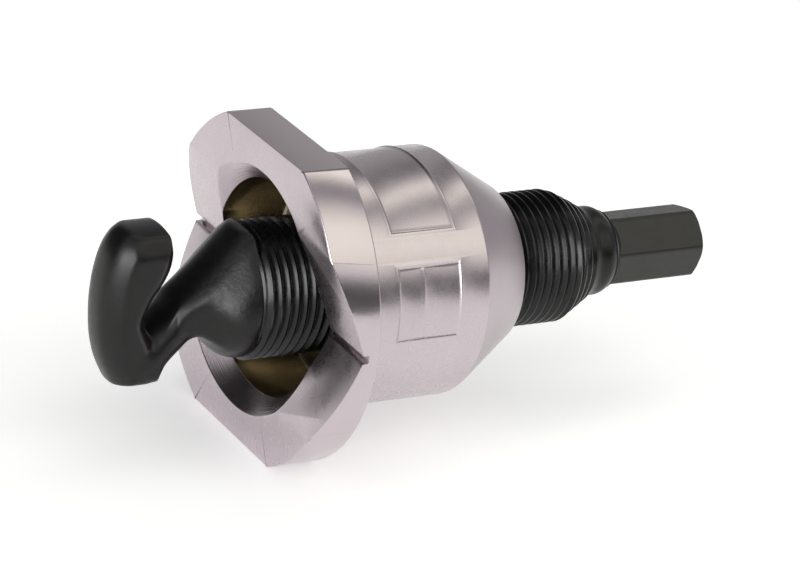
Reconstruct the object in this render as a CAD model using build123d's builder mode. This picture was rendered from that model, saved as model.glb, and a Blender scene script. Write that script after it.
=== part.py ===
"""Collar puller for pipe branches: a bell with a vee saddle, and a forged hook spindle screwed through it.

Millimetres. X runs along the spindle, from the hook (-X) to the hexagon (+X). The origin is where the
spindle's axis meets the plane of the bell's front face, and the two flange flats face +Z and -Z.
"""

import os

from build123d import *

# The thread that joins the two pieces
thread_diameter = 22.0
thread_clearance = 0.05

# The bell
flange_diameter = 56.0
flats_across = 50.0
flange_thickness = 8.0
barrel_wall = 2.9
barrel_end = 32.2
body_length = 43.4
rear_wall = 2.3
collar_room = 6.3
bore_depth = 15.2
mouth_flare = 2.8
mouth_flare_depth = 3.3
vee_width = 30.2
vee_depth = 5.5
slot_width = 1.2
slot_depth = 0.8
root_fillet = 1.0
edge_break = 0.4

# The forged head: a bowed slab with a crowned front, trimmed in the lathe to its swept diameter
head_sweep = 25.8
head_width = 11.0
head_reach = 26.8
head_bow = 29.6
bow_height = 1.0
crown_depth = 3.1
brow_height = 9.0
brow_run = 6.0
tip_depth = 10.9
tip_height = 9.3
crest_run = 1.5
back_round = 2.0
facet_height = 9.5
facet_width = 1.7
arm_depth = 6.9
heel_depth = 9.9
heel_corner = 1.5

# The neck between head and thread
crotch_height = -1.6
crotch_width = 2.3
crotch_drop = 1.6
crotch_step = 0.4
neck_width = 8.8
neck_height = 10.7
neck_sag = 0.9
neck_crown = 6.0
flare_crown = 9.0
flare_drop = 0.3
waist_reach = 9.6
waist_height = -4.4
waist_round = 3.0
flare_root = 14.0
flare_root_radius = 3.0
flare_middle = 7.4
flare_middle_radius = 6.6
flare_end_radius = 10.8
thread_start = 2.5
thread_chamfer = 0.8

# The spindle behind the bell
thread_behind = 12.0
thread_taper = 5.0
shoulder_front_radius = 8.15
shoulder_rear_radius = 6.65
shoulder_length = 5.2
core_radius = 4.94
running_clearance = 0.06
end_gap = 0.05
hex_across_flats = 11.0
hex_length = 17.8
hex_roll = 47.9
hex_chamfer = 0.35
hex_lead = 1.1

# Sizes that follow from the ones above
thread_radius = thread_diameter / 2
hole_radius = thread_radius + thread_clearance
bore_radius = thread_radius + collar_room
barrel_radius = bore_radius + barrel_wall
rear_radius = hole_radius + rear_wall
flange_radius = flange_diameter / 2
sweep_radius = head_sweep / 2
half_width = head_width / 2
thread_end = body_length + thread_behind
shoulder_start = thread_end + thread_taper
hex_start = shoulder_start + shoulder_length
hex_corner_radius = hex_across_flats / 3**0.5

os.makedirs("parts", exist_ok=True)

# Bell body: one turned piece with two flats milled on its flange
with BuildPart() as bell_body:
    with BuildSketch(Plane.XZ):
        with BuildLine():
            Polyline(
                (0, bore_radius + mouth_flare),
                (0, flange_radius - edge_break),
                (edge_break, flange_radius),
                (flange_thickness - edge_break, flange_radius),
                (flange_thickness, flange_radius - edge_break),
                (flange_thickness, barrel_radius),
                (barrel_end, barrel_radius),
                (body_length - edge_break, rear_radius),
                (body_length, rear_radius - edge_break),
                (body_length, hole_radius + edge_break),
                (body_length - edge_break, hole_radius),
                (bore_depth + edge_break, hole_radius),
                (bore_depth, hole_radius + edge_break),
                (bore_depth, bore_radius),
                (mouth_flare_depth, bore_radius),
                close=True,
            )
        make_face()
        root = vertices().sort_by_distance((flange_thickness, barrel_radius))[0]
        fillet(root, root_fillet)
    revolve(axis=Axis.X)

    with BuildSketch(Plane.YZ):
        Rectangle(flange_diameter, flats_across)
    extrude(amount=body_length, mode=Mode.INTERSECT)

    # The vee that seats on the pipe, with a relief slot along its bottom
    with BuildSketch(Plane.XZ):
        Polygon((0, vee_width / 2), (0, -vee_width / 2), (vee_depth, 0), align=None)
        with Locations((vee_depth, 0)):
            Rectangle(2 * slot_depth, slot_width)
    extrude(amount=flange_radius, both=True, mode=Mode.SUBTRACT)
bell_body.part.label = "bell_body"

# Named places in the plane of the hook, X and Z
front = -head_reach
beyond = sweep_radius + 1
bow_centre = front + head_bow


def bow_at(height):
    """Where the bowed front lies at a height."""
    return bow_centre - (head_bow**2 - (height - bow_height) ** 2) ** 0.5


crotch_back = Vector(front + arm_depth, crotch_height)
crotch = crotch_back + Vector(crotch_width, -crotch_drop)
tip_back = Vector(front + tip_depth, tip_height)
heel_back = Vector(front + heel_depth, -sweep_radius + heel_corner)
waist = Vector(-waist_reach, waist_height)

# The crest of the neck bends evenly from its foot in the crotch to its top at the thread
neck_foot = crotch + Vector(0, crotch_step)
neck_top = Vector(-thread_start, neck_height)
neck_span = neck_top - neck_foot
neck_run = neck_span.normalized()
neck_up = Vector(-neck_run.Y, neck_run.X)
neck_middle = (neck_top + neck_foot) / 2 - neck_up * neck_sag
bend_radius = neck_span.length**2 / (8 * neck_sag) + neck_sag / 2
bend_centre = neck_middle + neck_up * bend_radius
crest_plane = Plane(
    (neck_middle.X, 0, neck_middle.Y), x_dir=(0, 1, 0), z_dir=(neck_run.X, 0, neck_run.Y)
)


def above_crest(radius, drop=0):
    """What lies above a round top across the neck, its middle at a drop below the crest."""
    with BuildSketch(crest_plane) as above:
        with Locations((0, -radius - drop)):
            Rectangle(2 * head_sweep, head_sweep + radius, align=(Align.CENTER, Align.MIN))
            Circle(radius, mode=Mode.SUBTRACT)
    return above.sketch


# Head: its side profile, crossed with a crowned section that follows the bow
with BuildPart() as head:
    with BuildSketch(Plane.XZ):
        with BuildLine():
            brow = (bow_at(brow_height), brow_height)
            chin = (bow_at(-beyond), -beyond)
            ThreePointArc(brow, (front, bow_height), chin)
            Polyline(chin, (heel_back.X, -beyond), heel_back, crotch)
            TangentArc(crotch_back, crotch, tangent=(0, -1))
            rise = TangentArc(crotch_back, (crotch_back + tip_back) / 2, tangent=(0, 1))
            knuckle = TangentArc(rise @ 1, tip_back, tangent=rise % 1)
            crest = TangentArc(knuckle @ 1, (tip_back.X - crest_run, beyond), tangent=knuckle % 1)
            Polyline(crest @ 1, (brow[0] + brow_run, beyond), brow)
        make_face()
    extrude(amount=half_width, both=True)
    upper_edges = edges().filter_by_position(Axis.Z, 0, sweep_radius)
    back_edges = upper_edges.filter_by_position(Axis.X, crotch_back.X, 0)
    fillet(back_edges.filter_by(Axis.Y, reverse=True), back_round)

    with BuildSketch(Plane.XY.offset(bow_height)):
        with BuildLine():
            crown_edge = front + crown_depth
            ThreePointArc((crown_edge, -half_width), (front, 0), (crown_edge, half_width))
            Polyline(
                (crown_edge, half_width),
                (-flare_root, half_width),
                (-flare_root, -half_width),
                (crown_edge, -half_width),
            )
        make_face()
    revolve(axis=Axis((bow_centre, 0, bow_height), (0, 1, 0)), mode=Mode.INTERSECT)

    # Two facets ground on the corners of the tip
    with BuildSketch(Plane.YZ):
        facet_half = half_width - facet_width
        Polygon(
            (-half_width, -beyond),
            (half_width, -beyond),
            (half_width, facet_height),
            (facet_half, sweep_radius),
            (-facet_half, sweep_radius),
            (-half_width, facet_height),
            align=None,
        )
    extrude(amount=-head_reach, mode=Mode.INTERSECT)

# Neck: a strut that rises from the heel of the head to the thread, and a round flare, both crowned on top
with BuildPart() as strut:
    with BuildSketch(Plane.XZ):
        with BuildLine():
            foot = neck_foot - neck_run * crotch_width
            Polyline(foot, (-thread_start, beyond), (-thread_start, waist_height), waist, heel_back, foot)
        make_face()
        fillet(vertices().sort_by_distance((waist.X, waist.Y))[0], waist_round)
    extrude(amount=neck_width / 2, both=True)
    bend = Axis((bend_centre.X, 0, bend_centre.Y), (0, 1, 0))
    revolve(above_crest(neck_crown), axis=bend, mode=Mode.SUBTRACT)

with BuildPart() as flare:
    with BuildSketch(Plane.XZ):
        with BuildLine():
            root = (-flare_root, flare_root_radius)
            middle = (-flare_middle, flare_middle_radius)
            hollow = TangentArc(root, middle, tangent=(1, 0))
            swell = TangentArc(hollow @ 1, (-thread_start, flare_end_radius), tangent=hollow % 1)
            Polyline(swell @ 1, (-thread_start, 0), (-flare_root, 0), root)
        make_face()
    revolve(axis=Axis.X)
    extrude(above_crest(flare_crown, flare_drop), amount=head_sweep, both=True, mode=Mode.SUBTRACT)

# Hook spindle: the forging trimmed in the lathe, with a turned shank and a milled hexagon
with BuildPart() as hook_spindle:
    add(head.part)
    add(strut.part)
    add(flare.part)
    with BuildSketch(Plane.XZ):
        Rectangle(head_reach, sweep_radius, align=(Align.MAX, Align.MIN))
    revolve(axis=Axis.X, mode=Mode.INTERSECT)

    with BuildSketch(Plane.XZ):
        with BuildLine():
            Polyline(
                (-thread_start, 0),
                (-thread_start, thread_radius - thread_chamfer),
                (-thread_start + thread_chamfer, thread_radius),
                (thread_end, thread_radius),
                (shoulder_start, shoulder_front_radius),
                (shoulder_start, core_radius),
                (hex_start, core_radius),
                (hex_start, shoulder_rear_radius),
                (hex_start + hex_lead, hex_across_flats / 2),
                (hex_start + hex_lead, 0),
                close=True,
            )
        make_face()
    revolve(axis=Axis.X)
    with BuildSketch(Plane.YZ.offset(hex_start)):
        RegularPolygon(hex_corner_radius, 6, rotation=hex_roll)
    extrude(amount=hex_length)
    chamfer(faces().sort_by(Axis.X)[-1].edges(), hex_chamfer)
hook_spindle.part.label = "hook_spindle"

# Shoulder: the round ring of the taper between thread and hexagon
with BuildPart() as spindle_shoulder:
    with BuildSketch(Plane.XZ):
        with BuildLine():
            Polyline(
                (shoulder_start + end_gap, core_radius + running_clearance),
                (shoulder_start + end_gap, shoulder_front_radius),
                (hex_start - end_gap, shoulder_rear_radius),
                (hex_start - end_gap, core_radius + running_clearance),
                close=True,
            )
        make_face()
    revolve(axis=Axis.X)
spindle_shoulder.part.label = "spindle_shoulder"

for piece in (bell_body, hook_spindle, spindle_shoulder):
    export_step(piece.part, f"parts/{piece.part.label}.step")
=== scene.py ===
"""Looks of a collar puller: a nickel-plated bell with a vee saddle, and a blackened hook spindle.

Metres in Blender, millimetres in the names below. X runs along the spindle, from the hook (-X) to the
hexagon (+X), Z is up, and the origin is where the spindle's axis meets the bell's front face.
"""

import math

import bmesh
import bpy
import numpy as np
import openvdb
from mathutils import Matrix, Vector


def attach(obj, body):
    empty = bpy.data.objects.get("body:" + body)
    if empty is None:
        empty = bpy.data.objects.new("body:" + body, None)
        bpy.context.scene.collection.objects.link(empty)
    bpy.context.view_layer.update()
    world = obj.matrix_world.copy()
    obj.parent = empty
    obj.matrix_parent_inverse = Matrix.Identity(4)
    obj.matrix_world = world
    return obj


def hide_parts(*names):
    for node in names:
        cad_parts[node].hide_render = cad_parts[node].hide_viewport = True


MM = 0.001

# The bell
THREAD_RADIUS = 11.0
HOLE_RADIUS = 11.05
BORE_RADIUS = 17.3
BARREL_RADIUS = 20.2
REAR_RADIUS = 13.35
FLANGE_RADIUS = 28.0
FLAT_HEIGHT = 25.0
FLANGE_THICKNESS = 8.0
BARREL_END = 32.2
BODY_LENGTH = 43.4
BORE_DEPTH = 15.2
MOUTH_RADIUS = 20.1
MOUTH_FLARE_DEPTH = 3.3
VEE_HALF_WIDTH = 15.1
VEE_DEPTH = 5.5
SLOT_WIDTH = 1.2
SLOT_DEPTH = 0.8
EDGE_BREAK = 0.3
BELL_SEGMENTS = 288

# The two bare panels pressed into the barrel: X from and to, angle from and to (up from -Y), X of a divider
PANELS = [(15.2, 27.5, -7.2, 30.6, 20.3), (15.2, 27.6, 42.2, 137.8, None)]
RIM_HEIGHT = 0.13
RECESS_DEPTH = 0.14

# The thread and what is behind it
PITCH = 1.5
THREAD_DEPTH = 0.92
THREAD_START = -2.5
THREAD_END = 55.4
SHOULDER_START = 60.4
SHOULDER_FRONT_RADIUS = 8.15
SHOULDER_REAR_RADIUS = 6.65
HEX_START = 65.6
HEX_END = 83.4
HEX_FLAT = 5.5
HEX_ROLL = 47.9
HEX_CHAMFER_RADIUS = 5.6
CORE_RADIUS = 4.94
RING_BORE = 5.0
RING_GAP = 0.05
THREAD_SEGMENTS = 160
FIRST_CREST = -1.2

# The forged head
SWEEP_RADIUS = 12.9
HALF_WIDTH = 5.5
VOXEL = 0.2

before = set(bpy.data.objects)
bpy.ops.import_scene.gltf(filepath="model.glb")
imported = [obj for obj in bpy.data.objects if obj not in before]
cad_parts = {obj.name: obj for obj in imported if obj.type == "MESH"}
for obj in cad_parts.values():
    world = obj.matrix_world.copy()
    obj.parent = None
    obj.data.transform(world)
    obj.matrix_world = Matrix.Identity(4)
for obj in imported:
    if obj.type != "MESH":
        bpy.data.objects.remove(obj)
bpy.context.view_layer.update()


def link(name, mesh):
    """A new object around a mesh, shown in the scene."""
    obj = bpy.data.objects.new(name, mesh)
    bpy.context.scene.collection.objects.link(obj)
    return obj


def mesh_from(name, points, faces):
    """A mesh of points in millimetres."""
    mesh = bpy.data.meshes.new(name)
    mesh.from_pydata([tuple(p) for p in np.asarray(points, float) * MM], [], [tuple(map(int, f)) for f in faces])
    mesh.validate()
    mesh.update()
    return mesh


def clean(obj, merge=0.002):
    """Joins points that lie together and turns the faces outward."""
    bm = bmesh.new()
    bm.from_mesh(obj.data)
    bmesh.ops.remove_doubles(bm, verts=bm.verts, dist=merge * MM)
    bmesh.ops.dissolve_degenerate(bm, edges=bm.edges, dist=merge * MM / 2)
    bmesh.ops.recalc_face_normals(bm, faces=bm.faces)
    bm.to_mesh(obj.data)
    bm.free()
    return obj


def combine(obj, other, operation, solver="MANIFOLD"):
    """A boolean of two objects. The other one is used up."""
    modifier = obj.modifiers.new("cut", "BOOLEAN")
    modifier.operation = operation
    modifier.solver = solver
    modifier.object = other
    apply_modifiers(obj)
    bpy.data.objects.remove(other)
    return obj


def apply_modifiers(obj):
    """Bakes an object's modifiers into its mesh."""
    bpy.context.view_layer.update()
    graph = bpy.context.evaluated_depsgraph_get()
    mesh = bpy.data.meshes.new_from_object(obj.evaluated_get(graph))
    obj.modifiers.clear()
    obj.data = mesh
    return obj


def smooth(obj, degrees):
    """Smooth shading that breaks at edges sharper than the given angle."""
    obj.data.shade_smooth()
    obj.data.set_sharp_from_angle(angle=math.radians(degrees))
    return obj


def arc(centre, radius, start, end, steps):
    """Points of an arc in the plane of X and radius, angles in degrees from +X."""
    angles = np.radians(np.linspace(start, end, steps + 1))
    return [(centre[0] + radius * math.cos(a), centre[1] + radius * math.sin(a)) for a in angles]


def lathe(name, profile, segments, roll=0.0):
    """A closed profile of (x, radius) turned about the X axis. Points on the axis become one point."""
    angles = roll + np.arange(segments) * 2 * math.pi / segments
    points, rings = [], []
    for x, radius in profile:
        if radius < 1e-6:
            rings.append([len(points)] * segments)
            points.append((x, 0, 0))
        else:
            rings.append(list(range(len(points), len(points) + segments)))
            points += [(x, radius * math.cos(a), radius * math.sin(a)) for a in angles]
    faces = []
    for ring, following in zip(rings, rings[1:] + rings[:1]):
        for i in range(segments):
            j = (i + 1) % segments
            corners = list(dict.fromkeys((ring[i], ring[j], following[j], following[i])))
            if len(corners) > 2:
                faces.append(corners)
    obj = link(name, mesh_from(name, points, faces))
    return clean(obj)


def box(name, low, high):
    """A box between two corners."""
    bm = bmesh.new()
    bmesh.ops.create_cube(bm, size=1)
    size = np.subtract(high, low)
    centre = np.add(high, low) / 2
    for v in bm.verts:
        v.co = Vector((np.array(v.co) * size + centre) * MM)
    mesh = bpy.data.meshes.new(name)
    bm.to_mesh(mesh)
    bm.free()
    return link(name, mesh)


def prism(name, outline, half_length):
    """An outline in XZ extruded along Y, both ways."""
    count = len(outline)
    points = [(x, -half_length, z) for x, z in outline] + [(x, half_length, z) for x, z in outline]
    faces = [list(range(count)), list(range(2 * count - 1, count - 1, -1))]
    faces += [(i, (i + 1) % count, (i + 1) % count + count, i + count) for i in range(count)]
    return clean(link(name, mesh_from(name, points, faces)))


def make_bell():
    """The bell: turned, with two flats, the vee and its relief slot cut into it."""
    profile = [
        (0, MOUTH_RADIUS),
        (0, FLANGE_RADIUS - EDGE_BREAK),
        *arc((EDGE_BREAK, FLANGE_RADIUS - EDGE_BREAK), EDGE_BREAK, 180, 90, 3)[1:],
        (FLANGE_THICKNESS - EDGE_BREAK, FLANGE_RADIUS),
        *arc((FLANGE_THICKNESS - EDGE_BREAK, FLANGE_RADIUS - EDGE_BREAK), EDGE_BREAK, 90, 0, 3)[1:],
        *arc((FLANGE_THICKNESS + 1, BARREL_RADIUS + 1), 1, 180, 270, 5),
        *arc((BARREL_END - 0.3, BARREL_RADIUS - 1), 1, 90, 58, 4),
        *arc((BODY_LENGTH - 0.5, REAR_RADIUS - 0.4), 0.4, 58, 0, 4),
        (BODY_LENGTH, HOLE_RADIUS + 0.5),
        (BODY_LENGTH - 0.5, HOLE_RADIUS),
        (BORE_DEPTH + 0.5, HOLE_RADIUS),
        (BORE_DEPTH, HOLE_RADIUS + 0.5),
        (BORE_DEPTH, BORE_RADIUS - 0.5),
        (BORE_DEPTH - 0.5, BORE_RADIUS),
        (MOUTH_FLARE_DEPTH, BORE_RADIUS),
    ]
    bell = lathe("bell", profile, BELL_SEGMENTS)
    flats = box("flats", (-5, -40, -FLAT_HEIGHT), (BODY_LENGTH + 5, 40, FLAT_HEIGHT))
    combine(bell, flats, "INTERSECT")
    slope = VEE_HALF_WIDTH / VEE_DEPTH
    outline = [
        (-1, -VEE_HALF_WIDTH - slope),
        (VEE_DEPTH - SLOT_WIDTH / 2 / slope, -SLOT_WIDTH / 2),
        (VEE_DEPTH + SLOT_DEPTH, -SLOT_WIDTH / 2),
        (VEE_DEPTH + SLOT_DEPTH, SLOT_WIDTH / 2),
        (VEE_DEPTH - SLOT_WIDTH / 2 / slope, SLOT_WIDTH / 2),
        (-1, VEE_HALF_WIDTH + slope),
    ]
    combine(bell, prism("vee", outline, 40), "DIFFERENCE")
    clean(bell, 0.02)
    bevel_cuts(bell, 0.22)
    for x_low, x_high, angle_low, angle_high, divider in PANELS:
        stamp_panel(bell, x_low, x_high, angle_low, angle_high, divider)
    return smooth(bell, 32)


def sector(name, x_low, x_high, angle_low, angle_high, layers):
    """A curved block on the barrel. Each layer is (radius, inset of its four sides in millimetres)."""
    degree = math.degrees(1 / BARREL_RADIUS)
    steps = max(2, int((angle_high - angle_low) / 1.25))
    points, faces = [], []
    for radius, inset in layers:
        x0, x1 = x_low + inset, x_high - inset
        angles = np.radians(np.linspace(angle_low + inset * degree, angle_high - inset * degree, steps + 1))
        for x in (x0, x1):
            points += [(x, -radius * math.cos(a), radius * math.sin(a)) for a in angles]
    count = steps + 1
    layer = 2 * count
    outline = list(range(count)) + list(range(2 * count - 1, count - 1, -1))
    for k in range(len(layers) - 1):
        for a, b in zip(outline, outline[1:] + outline[:1]):
            faces.append((k * layer + a, k * layer + b, (k + 1) * layer + b, (k + 1) * layer + a))
    for base in (0, (len(layers) - 1) * layer):
        for i in range(steps):
            faces.append((base + i, base + i + 1, base + count + i + 1, base + count + i))
    return clean(link(name, mesh_from(name, points, faces)), 0.0005)


def stamp_panel(bell, x_low, x_high, angle_low, angle_high, divider):
    """A bare panel pressed into the barrel: a soft raised rim round a shallow recess."""
    surface = BARREL_RADIUS
    rim = [(surface - 1.2, 0), (surface - 0.02, 0), (surface + 0.5 * RIM_HEIGHT, 0.16), (surface + RIM_HEIGHT, 0.38),
           (surface + RIM_HEIGHT + 0.012, 0.55)]
    combine(bell, sector("rim", x_low, x_high, angle_low, angle_high, rim), "UNION")
    wall = [(surface - RECESS_DEPTH, 1.05), (surface - 0.5 * RECESS_DEPTH, 0.86), (surface + 0.5 * RIM_HEIGHT, 0.66),
            (surface + RIM_HEIGHT + 0.05, 0.5), (surface + 1, 0.5)]
    combine(bell, sector("recess", x_low, x_high, angle_low, angle_high, wall), "DIFFERENCE")
    if divider:
        bar = [(surface - 1.2, 0), (surface - RECESS_DEPTH, 0), (surface, 0.26), (surface + 0.02, 0.4)]
        low, high = angle_low + 2.4, angle_high - 2.4
        combine(bell, sector("bar", divider - 0.45, divider + 0.45, low, high, bar), "UNION")


def bevel_cuts(obj, width):
    """Breaks the sharp edges with a small bevel."""
    bm = bmesh.new()
    bm.from_mesh(obj.data)
    sharp = [e for e in bm.edges if len(e.link_faces) == 2 and e.calc_face_angle(0) > math.radians(35)]
    bmesh.ops.bevel(
        bm, geom=sharp, offset=width * MM, offset_type="OFFSET", segments=2, profile=0.6, affect="EDGES",
        clamp_overlap=False, miter_outer="ARC",
    )
    bmesh.ops.remove_doubles(bm, verts=bm.verts, dist=0.004 * MM)
    bmesh.ops.recalc_face_normals(bm, faces=bm.faces)
    bm.to_mesh(obj.data)
    bm.free()


def thread_envelope(x):
    """The radius of the thread's crests along the shank."""
    taper = (x - THREAD_END) / (SHOULDER_START - THREAD_END)
    return THREAD_RADIUS - np.clip(taper, 0, 1.2) * (THREAD_RADIUS - SHOULDER_FRONT_RADIUS - 0.25)


def make_thread():
    """The left-hand thread, as a helical grid trimmed to the shank's two ends."""
    profile = [(-0.5, 1.0), (-0.42, 0.93), (-0.12, 0.08), (-0.07, 0.0), (0.07, 0.0), (0.12, 0.08), (0.42, 0.93)]
    first_turn, last_turn = -4, 45
    columns = [(turn + u, depth) for turn in range(first_turn, last_turn) for u, depth in profile]
    per_turn = len(profile)
    points = []
    for i in range(THREAD_SEGMENTS):
        angle = 2 * math.pi * i / THREAD_SEGMENTS
        for u, depth in columns:
            x = FIRST_CREST + PITCH * (u - angle / (2 * math.pi) + 169 / 360)
            fade = 1 - 0.45 * float(np.clip((x - THREAD_END) / (SHOULDER_START - THREAD_END), 0, 1))
            radius = float(thread_envelope(x)) - THREAD_DEPTH * depth * fade
            points.append((x, radius * math.cos(angle), radius * math.sin(angle)))
    width = len(columns)
    faces = []
    for i in range(THREAD_SEGMENTS):
        last = i == THREAD_SEGMENTS - 1
        shift = per_turn if last else 0
        row, following = i * width, 0 if last else (i + 1) * width
        for j in range(width - 1):
            k, m = j + shift, j + 1 + shift
            if last and m >= width:
                continue
            faces.append((row + j, row + j + 1, following + m, following + k))
    # The open helical ends are closed by fans to the axis
    obj = link("thread", mesh_from("thread", points, faces))
    bm = bmesh.new()
    bm.from_mesh(obj.data)
    loose = [v for v in bm.verts if not v.link_faces]
    bmesh.ops.delete(bm, geom=loose, context="VERTS")
    boundary = [e for e in bm.edges if e.is_boundary]
    for side in (-1, 1):
        edges = [e for e in boundary if (e.verts[0].co.x / MM - 30) * side > 0]
        middle = sum((v.co.x for e in edges for v in e.verts)) / (2 * len(edges))
        centre = bm.verts.new((middle, 0, 0))
        for e in edges:
            bm.faces.new((e.verts[0], e.verts[1], centre))
    bmesh.ops.recalc_face_normals(bm, faces=bm.faces)
    bm.to_mesh(obj.data)
    bm.free()
    start_chamfer = 0.8
    envelope = lathe(
        "envelope",
        [
            (THREAD_START, 0),
            (THREAD_START, THREAD_RADIUS - start_chamfer),
            (THREAD_START + start_chamfer, THREAD_RADIUS + 0.01),
            (SHOULDER_START, THREAD_RADIUS + 0.01),
            (SHOULDER_START, 0),
        ],
        THREAD_SEGMENTS,
    )
    combine(obj, envelope, "INTERSECT")
    return clean(obj, 0.004)


def hex_radius(angle):
    """Distance from the axis to the hexagon's flats, with its corners broken."""
    turn = (angle - math.radians(HEX_ROLL)) % (math.pi / 3) - math.pi / 6
    return min(HEX_FLAT / math.cos(turn), HEX_FLAT * 1.135)


def make_hexagon():
    """The hexagon, with a turned lead at the shoulder and a chamfered end, on its round core."""
    angles = np.radians(HEX_ROLL) + np.linspace(0, 2 * math.pi, 6 * 24, endpoint=False)
    rows = []
    rows.append([(SHOULDER_START - 0.5, CORE_RADIUS)] * len(angles))
    rows.append([(HEX_START, CORE_RADIUS)] * len(angles))
    rows.append([(HEX_START, SHOULDER_REAR_RADIUS - 0.1)] * len(angles))
    rows.append([(HEX_START + 0.12, SHOULDER_REAR_RADIUS)] * len(angles))
    lead, end, middle = [], [], []
    for a in angles:
        r = hex_radius(a)
        lead.append((HEX_START + 0.12 + 1.1 * (SHOULDER_REAR_RADIUS - r), r))
        middle.append(((HEX_START + HEX_END) / 2, r))
        end.append((HEX_END - 0.62 * max(0, r - HEX_CHAMFER_RADIUS) - 0.15, r))
    rows += [lead, middle, end]
    rows.append([(HEX_END - 0.15, min(HEX_CHAMFER_RADIUS, hex_radius(a))) for a in angles])
    rows.append([(HEX_END, HEX_CHAMFER_RADIUS - 0.35)] * len(angles))
    count = len(angles)
    points = [
        (x, r * math.cos(a), r * math.sin(a)) for row in rows for (x, r), a in zip(row, angles)
    ]
    faces = []
    for k in range(len(rows) - 1):
        for i in range(count):
            j = (i + 1) % count
            faces.append((k * count + i, k * count + j, (k + 1) * count + j, (k + 1) * count + i))
    faces.append(list(range(count)))
    faces.append(list(range(len(points) - count, len(points))))
    return clean(link("hexagon", mesh_from("hexagon", points, faces)), 0.001)


def make_shoulder():
    """The round shoulder between thread and hexagon, hollow on its plain front and convex at its rear."""
    front, rear = SHOULDER_START + RING_GAP, HEX_START - RING_GAP
    outer = [(front, SHOULDER_FRONT_RADIUS - 0.15), (front + 0.12, SHOULDER_FRONT_RADIUS)]
    for t in np.linspace(0.1, 1, 12):
        x = front + t * (rear - 0.1 - front)
        r = SHOULDER_FRONT_RADIUS - (SHOULDER_FRONT_RADIUS - SHOULDER_REAR_RADIUS) * t
        outer.append((x, r - 0.3 * math.sin(2 * math.pi * t)))
    outer.append((rear, SHOULDER_REAR_RADIUS - 0.1))
    return lathe("spindle_shoulder_ring", [(front, RING_BORE), *outer, (rear, RING_BORE)], 128)


def smooth_min(a, b, k):
    """Union of two distance fields with a fillet of about k."""
    h = np.maximum(k - np.abs(a - b), 0) / k
    return np.minimum(a, b) - h * h * k / 4


def smooth_max(a, b, k):
    """Intersection of two distance fields with a rounded edge of about k."""
    return -smooth_min(-a, -b, k)


def polygon_distance(xs, zs, outline):
    """Signed distance on a grid to a closed outline in XZ, negative inside."""
    gx, gz = np.meshgrid(xs, zs, indexing="ij")
    best = np.full(gx.shape, 1e9)
    inside = np.zeros(gx.shape, bool)
    for (ax, az), (bx, bz) in zip(outline, outline[1:] + outline[:1]):
        dx, dz = bx - ax, bz - az
        t = np.clip(((gx - ax) * dx + (gz - az) * dz) / (dx * dx + dz * dz), 0, 1)
        best = np.minimum(best, (gx - ax - t * dx) ** 2 + (gz - az - t * dz) ** 2)
        crosses = (az > gz) != (bz > gz)
        at = ax + (gz - az) / (dz if abs(dz) > 1e-12 else 1e-12) * dx
        inside ^= crosses & (gx < at)
    return np.where(inside, -1, 1) * np.sqrt(best)


def spline(points, steps=8):
    """Points on a smooth curve through the given ones."""
    p = np.array(points, float)
    p = np.vstack([2 * p[0] - p[1], p, 2 * p[-1] - p[-2]])
    out = []
    for a, b, c, d in zip(p, p[1:], p[2:], p[3:]):
        for t in np.arange(steps) / steps:
            out.append(
                0.5 * (2 * b + (c - a) * t + (2 * a - 5 * b + 4 * c - d) * t * t + (3 * b - a - 3 * c + d) * t**3)
            )
    out.append(p[-2])
    return [tuple(q) for q in out]


# The head's front and back in the plane of the hook, from top to bottom
HEAD_FRONT = [
    (-20.6, 14.2), (-22.4, 13.2), (-24.2, 11.7), (-25.6, 9.2), (-26.5, 5.4), (-26.8, 1.2), (-26.6, -2.6),
    (-26.1, -6.0), (-25.1, -9.3), (-23.6, -12.3), (-22.2, -14.2),
]
HEAD_BACK = [
    (-16.8, 14.2), (-16.3, 11.6), (-15.9, 9.4), (-16.2, 7.0), (-17.2, 4.6), (-18.6, 2.4), (-19.5, 0.3),
    (-19.9, -1.6), (-19.4, -3.0),
]
NECK_TOP = [(-17.6, -3.2), (-15.4, -1.6), (-13.0, 0.5), (-11.3, 2.0), (-8.6, 4.6), (-5.9, 7.6), (-3.6, 10.4)]
WAIST = [
    (-17.0, -11.4), (-16.2, -10.2), (-14.9, -8.6), (-13.1, -7.0), (-11.8, -5.9), (-10.6, -5.2), (-9.6, -5.0),
]
FLARE = [(-14.0, 3.2), (-11.0, 4.4), (-9.2, 5.6), (-8.0, 7.0), (-6.8, 8.5), (-5.2, 9.8), (-3.6, 10.35), (-2.2, 10.35)]


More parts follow.
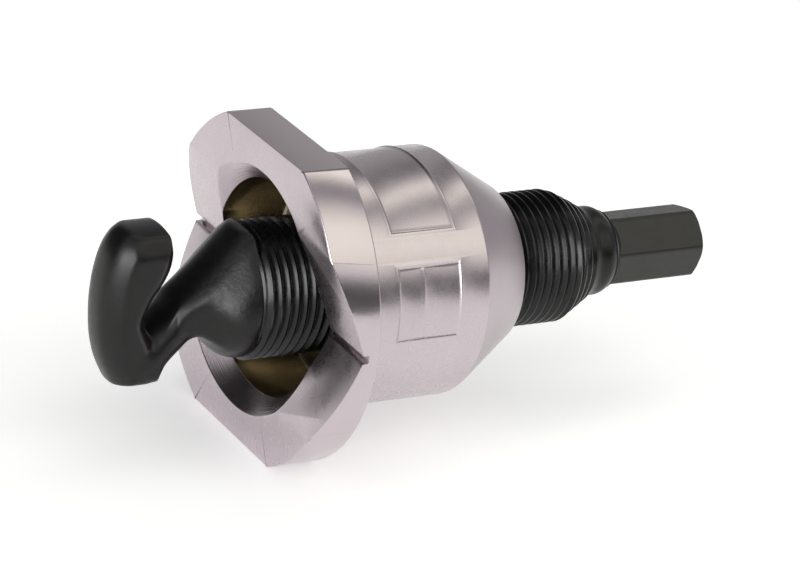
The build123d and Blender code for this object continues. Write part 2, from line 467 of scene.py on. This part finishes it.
def forging_distance(xs, ys, zs):
    """The distance field of head, neck and flare, on a grid in millimetres."""
    x, y, z = xs[:, None, None], ys[None, :, None], zs[None, None, :]
    across = np.abs(y)

    # Head: a slab with a crowned front, trimmed to the swept cylinder
    front_side = spline(HEAD_FRONT)
    back_side = spline(HEAD_BACK)
    heel = [(-18.6, -4.6), (-16.6, -9.6), (-16.6, -11.2), (-17.6, -12.4), (-18.2, -14.2)]
    head_outline = front_side[::-1] + back_side + heel
    front_outline = front_side + [(0, -14.2), (0, 14.2)]
    profile = polygon_distance(xs, zs, head_outline)[:, None, :]
    behind = -polygon_distance(xs, zs, front_outline)[:, None, :]
    crown = 6.43
    crowned = np.hypot(np.maximum(crown - behind, 0), across) - crown
    side = across - HALF_WIDTH
    back = smooth_max(profile, side, 2.4)
    head = smooth_max(back, crowned, 0.5)

    # Neck: narrower than the head, with a crowned top
    neck_outline = spline(NECK_TOP) + [(-2.2, 10.4), (-2.2, -5.0)] + spline(WAIST)[::-1] + [(-20, -9), (-20, -4)]
    neck_plane = polygon_distance(xs, zs, neck_outline)[:, None, :]
    top_outline = [(-30, -16)] + spline([(-22.0, -7.0)] + NECK_TOP) + [(-2.0, 12.4), (5, 18), (5, -16)]
    below_top = -polygon_distance(xs, zs, top_outline)[:, None, :]
    neck_crown = 6.8
    crowned_top = np.hypot(np.maximum(neck_crown - below_top, 0), across) - neck_crown
    neck_side = across - (4.7 + 0.8 * np.clip((-12 - x) / 5, 0, 1))
    neck = smooth_max(smooth_max(neck_plane, neck_side, 1.6), crowned_top, 0.8)

    # Flare: round about the axis, cut off by the neck's top
    radius = np.hypot(y, z)
    flare_radius = np.interp(xs, [p[0] for p in spline(FLARE)], [p[1] for p in spline(FLARE)])
    steep = np.gradient(flare_radius, xs)
    flare = (radius - flare_radius[:, None, None]) / np.sqrt(1 + steep**2)[:, None, None]
    flare = np.maximum(flare, -13.5 - x)
    flare_crown = 11.0
    above = np.hypot(np.maximum(flare_crown - below_top, 0), across) - flare_crown
    flare = smooth_max(flare, above, 1.5)

    body = smooth_min(neck, flare, 3.0)
    body = smooth_min(head, body, 1.2)

    # Trimmed in the lathe, with the two facets ground at the top of the head
    body = smooth_max(body, radius - SWEEP_RADIUS, 0.35)
    facet = (across - 5.5) * 0.874 + (z - 9.5) * 0.485
    body = smooth_max(body, np.where(x < -14, facet, -5), 0.4)
    return np.maximum(body, x + 1.9)


def make_forging():
    """Head, neck and flare as one smooth forging."""
    low, high = np.array((-28.0, -12.0, -14.0)), np.array((-1.0, 12.0, 14.0))
    xs, ys, zs = (np.arange(a, b + VOXEL / 2, VOXEL) for a, b in zip(low, high))
    field = forging_distance(xs, ys, zs).astype(np.float32)
    grid = openvdb.FloatGrid()
    grid.copyFromArray(np.ascontiguousarray(field))
    points, quads = grid.convertToQuads()
    points = np.asarray(points, float) * VOXEL + low
    obj = link("forging", mesh_from("forging", points, quads))
    return clean(obj, 0.001)


def make_spindle():
    """The whole hook spindle as one piece."""
    spindle = make_thread()
    combine(spindle, make_forging(), "UNION")
    combine(spindle, make_hexagon(), "UNION")
    spindle.name = "hook_spindle_forged"
    return smooth(spindle, 34)


# Materials

class Nodes:
    """A node tree of a material or the world, with short calls to add and link nodes."""

    def __init__(self, owner):
        owner.use_nodes = True
        self.owner = owner
        self.tree = owner.node_tree
        self.shader = self.tree.nodes.get("Principled BSDF")

    def add(self, kind, **values):
        node = self.tree.nodes.new(kind)
        for name, value in values.items():
            if hasattr(node, name):
                setattr(node, name, value)
            else:
                node.inputs[name.replace("_", " ").title()].default_value = value
        return node

    def link(self, source, target):
        self.tree.links.new(source, target)

    def set(self, **values):
        for name, value in values.items():
            self.shader.inputs[name.replace("_", " ")].default_value = value

    def math(self, operation, a, b):
        node = self.add("ShaderNodeMath", operation=operation)
        for socket, value in zip(node.inputs, (a, b)):
            if isinstance(value, (int, float)):
                socket.default_value = value
            else:
                self.link(value, socket)
        return node.outputs[0]

    def noise(self, vector, scale, detail=4, roughness=0.5, w=None):
        node = self.add("ShaderNodeTexNoise", noise_dimensions="4D" if w is not None else "3D")
        node.inputs["Scale"].default_value = scale
        node.inputs["Detail"].default_value = detail
        node.inputs["Roughness"].default_value = roughness
        self.link(vector, node.inputs["Vector"])
        if w is not None:
            self.link(w, node.inputs["W"])
        return node.outputs["Fac"]

    def turned(self, along, around):
        """A position stretched round the X axis, for marks that run around it: (vector, radius)."""
        geometry = self.add("ShaderNodeTexCoord")
        split = self.add("ShaderNodeSeparateXYZ")
        self.link(geometry.outputs["Object"], split.inputs[0])
        x, y, z = split.outputs
        yy = self.math("MULTIPLY", y, y)
        zz = self.math("MULTIPLY", z, z)
        radius = self.math("SQRT", self.math("ADD", yy, zz), 0.0)
        safe = self.math("MAXIMUM", radius, 0.0005)
        joined = self.add("ShaderNodeCombineXYZ")
        self.link(self.math("MULTIPLY", x, along), joined.inputs[0])
        self.link(self.math("MULTIPLY", self.math("DIVIDE", y, safe), around), joined.inputs[1])
        self.link(self.math("MULTIPLY", self.math("DIVIDE", z, safe), around), joined.inputs[2])
        return joined.outputs[0], self.math("MULTIPLY", radius, along)

    def position(self):
        return self.add("ShaderNodeTexCoord").outputs["Object"]

    def ramp(self, value, *stops):
        node = self.add("ShaderNodeValToRGB")
        elements = node.color_ramp.elements
        while len(elements) < len(stops):
            elements.new(0.5)
        for element, (place, colour) in zip(elements, stops):
            element.position = place
            element.color = (*colour, 1) if hasattr(colour, "__len__") else (colour, colour, colour, 1)
        self.link(value, node.inputs[0])
        return node.outputs[0]

    def smoothstep(self, value, low, high):
        node = self.add("ShaderNodeMapRange", interpolation_type="SMOOTHSTEP")
        node.inputs["From Min"].default_value = low
        node.inputs["From Max"].default_value = high
        self.link(value, node.inputs["Value"])
        return node.outputs[0]

    def mix(self, factor, a, b):
        node = self.add("ShaderNodeMix", data_type="RGBA")
        self.link(factor, node.inputs[0])
        for socket, value in zip(node.inputs[6:8], (a, b)):
            if isinstance(value, tuple):
                socket.default_value = (*value, 1)
            else:
                self.link(value, socket)
        return node.outputs[2]

    def bump(self, height, distance, strength=1.0, normal=None):
        node = self.add("ShaderNodeBump")
        node.inputs["Distance"].default_value = distance
        node.inputs["Strength"].default_value = strength
        self.link(height, node.inputs["Height"])
        if normal is not None:
            self.link(normal, node.inputs["Normal"])
        return node.outputs[0]


def nickel(name, colour, roughness, grain, turned_depth, turned_scale):
    """Satin nickel plate with a fine grain and turning marks round the axis."""
    nodes = Nodes(bpy.data.materials.new(name))
    nodes.set(Metallic=1.0)
    position = nodes.position()
    cloud = nodes.noise(position, 90, 3)
    dark = tuple(c * 0.94 for c in colour)
    nodes.link(nodes.ramp(cloud, (0.3, dark), (0.7, colour)), nodes.shader.inputs["Base Color"])
    rough = nodes.ramp(nodes.noise(position, 500, 3), (0.3, roughness - 0.02), (0.7, roughness + 0.02))
    nodes.link(rough, nodes.shader.inputs["Roughness"])
    normal = nodes.bump(nodes.noise(position, 1600, 2), grain)
    vector, w = nodes.turned(turned_scale, 1.2)
    normal = nodes.bump(nodes.noise(vector, 1.0, 3, w=w), turned_depth, normal=normal)
    nodes.link(normal, nodes.shader.inputs["Normal"])
    return nodes.owner


def black(name, colour, roughness, grain, grain_scale, ior=1.4, rough_from=None):
    """Blackened steel. Its grain can grow along X, from one place to another in millimetres."""
    nodes = Nodes(bpy.data.materials.new(name))
    nodes.set(Metallic=0.0, IOR=ior)
    position = nodes.position()
    cloud = nodes.noise(position, 160, 4)
    lighter = tuple(c * 1.7 for c in colour)
    nodes.link(nodes.ramp(cloud, (0.35, colour), (0.75, lighter)), nodes.shader.inputs["Base Color"])
    rough = nodes.ramp(nodes.noise(position, 900, 4), (0.3, roughness - 0.04), (0.7, roughness + 0.05))
    nodes.link(rough, nodes.shader.inputs["Roughness"])
    height = nodes.noise(position, grain_scale, 4, 0.6)
    if rough_from:
        split = nodes.add("ShaderNodeSeparateXYZ")
        nodes.link(position, split.inputs[0])
        grown = nodes.smoothstep(split.outputs[0], rough_from[0] * MM, rough_from[1] * MM)
        height = nodes.math("MULTIPLY", height, nodes.math("ADD", nodes.math("MULTIPLY", grown, 0.85), 0.15))
    nodes.link(nodes.bump(height, grain), nodes.shader.inputs["Normal"])
    return nodes.owner


def paint(obj, materials, choose):
    """Gives each face the material that choose picks by the face's centre and normal."""
    obj.data.materials.clear()
    for material in materials:
        obj.data.materials.append(material)
    for polygon in obj.data.polygons:
        polygon.material_index = choose(polygon.center / MM, polygon.normal)


NICKEL = (0.575, 0.507, 0.54)


def paint_bell(bell):
    barrel = nickel("nickel_barrel", NICKEL, 0.27, 0.0000012, 0.000004, 1500)
    flange = nickel("nickel_flange", NICKEL, 0.16, 0.000005, 0.000002, 1500)
    face = nickel("nickel_front", NICKEL, 0.28, 0.0000012, 0.000002, 1200)
    # The cone's nickel is 0.86 times as light as the rest of the plate: painted shade, standing in for the dimmer
    # reflection on the cone
    cone = nickel("nickel_cone_painted_shade", tuple(c * 0.86 for c in NICKEL), 0.30, 0.0000012, 0.000002, 1500)
    mouth = nickel("nickel_turned", NICKEL, 0.24, 0.000001, 0.00004, 4000)
    # The bore is the same nickel plate; its dark brown-olive colour is painted shade and painted reflection inside
    # the bore
    bore = nickel("nickel_bore_painted_shade", (0.33, 0.29, 0.21), 0.22, 0.0000008, 0.000006, 1500)

    def choose(centre, normal):
        radius = math.hypot(centre.y, centre.z)
        outward = (centre.y * normal.y + centre.z * normal.z) / radius
        # The bore's faces get the darkened, tinted copy of the nickel: painted shade and reflection
        if radius < BORE_RADIUS + 0.05 and MOUTH_FLARE_DEPTH - 0.2 < centre.x < BODY_LENGTH - 1 and outward < 0.3:
            return 5
        if radius < MOUTH_RADIUS and centre.x < MOUTH_FLARE_DEPTH + 0.3 and abs(normal.x + 0.65) < 0.25:
            return 4
        # The cone's faces get the darker copy of the nickel: painted shade
        if centre.x > BARREL_END and outward > 0.3:
            return 3
        if centre.x < VEE_DEPTH + 1 and normal.x < -0.5:
            return 2
        return 1 if centre.x < FLANGE_THICKNESS + 0.1 else 0

    paint(bell, [barrel, flange, face, cone, mouth, bore], choose)


def paint_spindle(spindle):
    forged = black("black_forging", (0.004, 0.0034, 0.0036), 0.34, 0.00005, 1300, 1.4, (-15, -8))
    thread = black("black_thread", (0.003, 0.003, 0.0032), 0.24, 0.000004, 1500, 1.42)
    hexagon = black("black_hexagon", (0.007, 0.006, 0.006), 0.36, 0.00001, 900, 1.48)

    def choose(centre, normal):
        if centre.x > SHOULDER_START:
            return 2
        return 1 if centre.x > THREAD_START - 0.05 else 0

    paint(spindle, [forged, thread, hexagon], choose)


# The studio's light by the angle round the X axis, from the camera's side (0) over the top (90) to the back
WARM = (1.0, 1.0, 0.88)


def warm(light):
    return tuple(c * light for c in WARM)


ROOM_RIGHT = [
    (-179, 0.45), (-10, 0.5), (0, 0.12), (16, 0.12), (21, 0.4), (26, 0.9), (33, warm(1.2)), (45, warm(1.38)),
    (60, warm(1.36)), (68, warm(1.1)), (76, 0.7), (81, 0.4), (89, 0.4), (95, warm(1.0)), (100, warm(1.5)),
    (106, warm(1.45)), (112, 0.8), (118, 0.3), (132, 0.2), (143, 0.35), (155, 0.44), (179, 0.47),
]
ROOM_LEFT = [
    (-179, 0.3), (-10, 0.5), (0, 0.12), (20, 0.15), (30, 0.6), (40, 0.9), (60, 0.9), (76, 0.5), (84, 0.3),
    (95, 0.8), (104, 0.7), (112, 0.1), (125, 0.02), (165, 0.02), (172, 0.2), (179, 0.3),
]
SIDE_WALL = (0.45, 0.44, 0.45)


def make_camera():
    """The photograph's viewpoint, fitted to the bell's circles and edges."""
    data = bpy.data.cameras.new("camera")
    data.sensor_width = 36
    data.lens = 159.306
    data.clip_start, data.clip_end = 0.05, 20
    camera = bpy.data.objects.new("camera", data)
    bpy.context.scene.collection.objects.link(camera)
    forward = Vector((0.50057845, 0.76843571, -0.39865746))
    up = Vector((0.10112936, 0.4054471, 0.90850729))
    right = forward.cross(up).normalized()
    turn = Matrix((right, right.cross(forward), -forward)).transposed()
    camera.matrix_world = Matrix.Translation((-0.256465, -0.437138, 0.223667)) @ turn.to_4x4()
    bpy.context.scene.camera = camera


def look_at(obj, place, target):
    """Puts an object at a place, with its -Z side towards a target."""
    obj.location = place
    obj.rotation_mode = "QUATERNION"
    obj.rotation_quaternion = (Vector(target) - Vector(place)).to_track_quat("-Z", "Y")


def sky_point(azimuth, elevation, distance):
    """A point seen from the origin: azimuth from +Y towards +X, elevation from the horizon, in degrees."""
    a, e = math.radians(azimuth), math.radians(elevation)
    return Vector((math.sin(a) * math.cos(e), math.cos(a) * math.cos(e), math.sin(e))) * distance


def softbox(name, azimuth, elevation, distance, size, radiance, colour=(1, 1, 1), glossy=True, diffuse=True):
    """A rectangular studio light of an even radiance."""
    data = bpy.data.lights.new(name, "AREA")
    data.shape = "RECTANGLE"
    data.size, data.size_y = size
    data.energy = radiance * math.pi * size[0] * size[1]
    data.color = colour
    light = bpy.data.objects.new(name, data)
    bpy.context.scene.collection.objects.link(light)
    look_at(light, sky_point(azimuth, elevation, distance), (0.02, 0, 0))
    light.visible_glossy = glossy
    light.visible_diffuse = diffuse


def make_stage():
    """A pale floor in a grey room with two long softboxes, as seen round the X axis."""
    floor = box("floor", (-3000, -3000, -FLAT_HEIGHT - 20), (3000, 3000, -FLAT_HEIGHT - 0.02))
    nodes = Nodes(bpy.data.materials.new("floor_paper"))
    nodes.set(Roughness=0.9)
    nodes.shader.inputs["Base Color"].default_value = (0.93, 0.93, 0.93, 1)
    nodes.shader.inputs["Specular IOR Level"].default_value = 0.1
    nodes.shader.inputs["Emission Color"].default_value = (1, 1, 1, 1)
    nodes.shader.inputs["Emission Strength"].default_value = 0.4
    floor.data.materials.append(nodes.owner)

    world = bpy.data.worlds.new("studio")
    nodes = Nodes(world)
    split = nodes.add("ShaderNodeSeparateXYZ")
    nodes.link(nodes.add("ShaderNodeTexCoord").outputs["Generated"], split.inputs[0])
    x, y, z = split.outputs
    turn = nodes.math("ARCTAN2", z, nodes.math("MULTIPLY", y, -1.0))
    place = nodes.math("ADD", nodes.math("MULTIPLY", turn, 0.5 / math.pi), 0.5)
    right = nodes.ramp(place, *[(0.5 + angle / 360, light) for angle, light in ROOM_RIGHT])
    left = nodes.ramp(place, *[(0.5 + angle / 360, light) for angle, light in ROOM_LEFT])
    room = nodes.mix(nodes.smoothstep(x, -0.25, 0.15), left, right)
    room = nodes.mix(nodes.smoothstep(x, 0.72, 0.95), room, SIDE_WALL)
    nodes.link(room, world.node_tree.nodes["Background"].inputs[0])
    bpy.context.scene.world = world
    bpy.context.scene.view_settings.view_transform = "Standard"
    softbox("fill", 180, 85, 1.2, (2.0, 2.0), 0.25, (0.9, 0.96, 1.0), glossy=False)
    softbox("left_box", -120, 14, 0.9, (0.75, 0.5), 7.0, diffuse=False)


make_camera()
make_stage()

bell = make_bell()
paint_bell(bell)
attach(bell, "bell")
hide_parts("bell_body")

spindle = make_spindle()
paint_spindle(spindle)
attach(spindle, "spindle")
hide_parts("hook_spindle")

shoulder = smooth(make_shoulder(), 30)
paint(shoulder, [black("black_shoulder", (0.004, 0.004, 0.004), 0.30, 0.000006, 900, 1.36)], lambda centre, normal: 0)
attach(shoulder, "feed")
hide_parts("spindle_shoulder")
